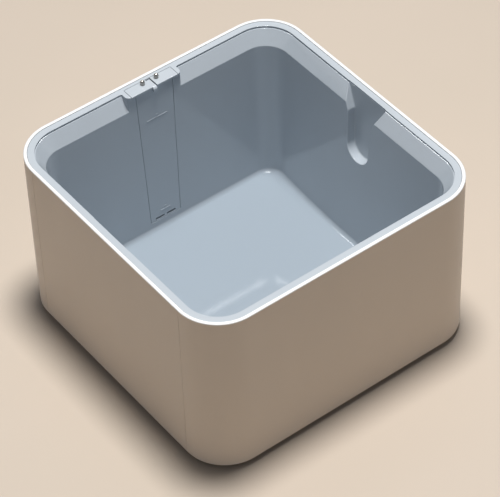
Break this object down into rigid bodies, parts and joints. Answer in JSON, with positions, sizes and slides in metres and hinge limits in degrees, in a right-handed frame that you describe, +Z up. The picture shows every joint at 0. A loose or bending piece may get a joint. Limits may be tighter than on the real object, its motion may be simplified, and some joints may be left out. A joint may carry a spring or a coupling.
{
  "type": "open wash tank with level probe",
  "caption": "Open rounded-square wash tank: white outer shell, drop-in blue-grey basin with shaft slots in its side walls, and a lift-out level probe with contacts on top.",
  "frame": {"origin": "on the floor under the middle of the tank", "axes": "+Z up, +Y towards the wall that carries the level probe, +X towards one of the walls with a shaft slot"},
  "size_m": [0.28, 0.28, 0.1771],
  "materials": {
    "white_plastic": "satin white moulded plastic",
    "basin_plastic": "satin blue-grey moulded plastic",
    "dark_plastic": "matt dark grey moulded plastic",
    "steel": "polished stainless steel",
    "rubber": "matt black rubber"
  },
  "bodies": {
    "housing": {"outer_shell": "white_plastic", "base_plate": "dark_plastic", "foot_front_left": "rubber", "foot_front_right": "rubber", "foot_rear_left": "rubber", "foot_rear_right": "rubber", "base_screw_1": "steel", "base_screw_2": "steel", "base_screw_3": "steel", "base_screw_4": "steel", "base_screw_5": "steel", "base_screw_6": "steel", "base_screw_7": "steel", "base_screw_8": "steel"},
    "basin": {"basin_liner": "basin_plastic"},
    "probe": {"probe_cover": "basin_plastic", "electrode_carrier": "dark_plastic", "contact_left": "steel", "contact_right": "steel", "contact_seal_left": "rubber", "contact_seal_right": "rubber", "contact_nut_left": "steel", "contact_nut_right": "steel", "electrode_left": "steel", "electrode_right": "steel", "probe_screw_1": "steel", "probe_screw_2": "steel"}
  },
  "joints": [
    {"name": "basin_lift", "type": "slide", "parent": "housing", "child": "basin", "axis": [0, 0, 1], "range_m": [0, 0.18]},
    {"name": "probe_lift", "type": "slide", "parent": "basin", "child": "probe", "axis": [0, 0, 1], "range_m": [0, 0.165]}
  ]
}
